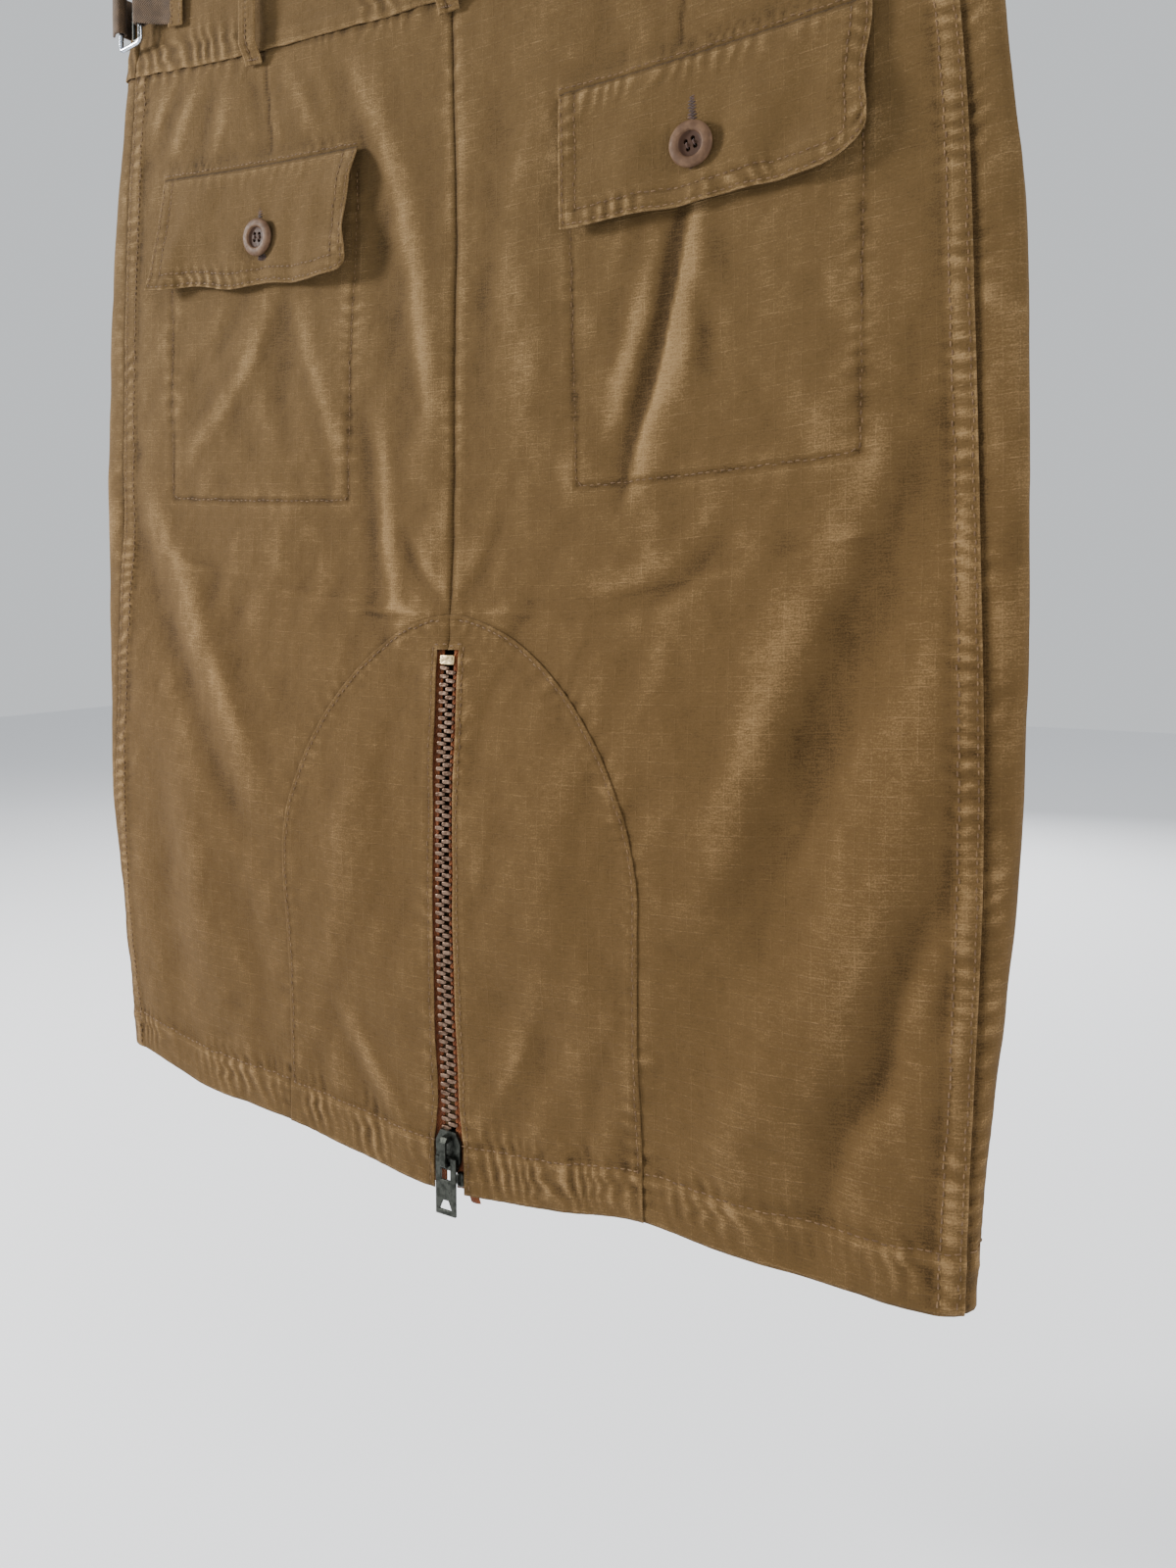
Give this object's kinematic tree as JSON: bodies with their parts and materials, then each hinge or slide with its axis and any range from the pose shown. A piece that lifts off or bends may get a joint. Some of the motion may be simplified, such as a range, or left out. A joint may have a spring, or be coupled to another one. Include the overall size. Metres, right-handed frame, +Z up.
{
  "type": "cargo utility skirt",
  "caption": "Knee-length ripstop cotton cargo skirt hung open, with flapped back pockets, side adjusters and an arched back vent closed by an exposed metal zip.",
  "frame": {"origin": "the middle of the waistband's top edge, where the skirt is held up", "axes": "+Z up from hem to waist; the wearer's front faces -Y, the pictured back faces +Y, and the wearer's right is at -X"},
  "size_m": [0.4611, 0.047, 0.5901],
  "materials": {
    "ripstop": "washed tobacco-brown ripstop cotton, matt, with a raised grid about 5 mm across, paler and slightly orange on worn edges",
    "strap_twill": "darker brown cotton twill tape, matt",
    "zip_tape": "rust-orange woven zip tape",
    "stitching": "brown cotton-wrapped sewing thread",
    "zip_metal": "aged bronze zip teeth, satin",
    "zip_gold": "pale gold plated stop, satin",
    "slider_metal": "gunmetal enamel over die-cast zinc, semi-gloss, worn brighter on the bridge",
    "button": "imitation horn: pinkish-brown rim, darker well, soft sheen",
    "buckle_steel": "bright nickel-plated wire"
  },
  "bodies": {
    "skirt": {"back_left": "ripstop", "dome_left": "ripstop", "front_left": "ripstop", "flap_left": "ripstop", "pocket_left": "ripstop", "button_left": "button", "zip_tape_left": "zip_tape", "loop_back_left": "ripstop", "loop_front_left": "ripstop", "adjuster_ring_left": "buckle_steel", "adjuster_tab_left": "strap_twill", "adjuster_strap_left": "strap_twill", "waistband_front_left": "ripstop", "back_right": "ripstop", "dome_right": "ripstop", "front_right": "ripstop", "flap_right": "ripstop", "pocket_right": "ripstop", "button_right": "button", "zip_tape_right": "zip_tape", "loop_back_right": "ripstop", "loop_front_right": "ripstop", "adjuster_ring_right": "buckle_steel", "adjuster_tab_right": "strap_twill", "adjuster_strap_right": "strap_twill", "waistband_front_right": "ripstop", "loop_centre_back": "ripstop", "waistband_back": "ripstop", "button_waist": "button", "zip_chain": "zip_metal", "zip_stop": "zip_gold", "zip_slider": "slider_metal"},
    "pull": {"zip_pull": "slider_metal"}
  },
  "joints": [
    {"name": "pull_swing", "type": "hinge", "parent": "skirt", "child": "pull", "pos_m": [0, 0.02039, -0.55012], "axis": [1, 0, 0], "range_deg": [0, 155]}
  ]
}
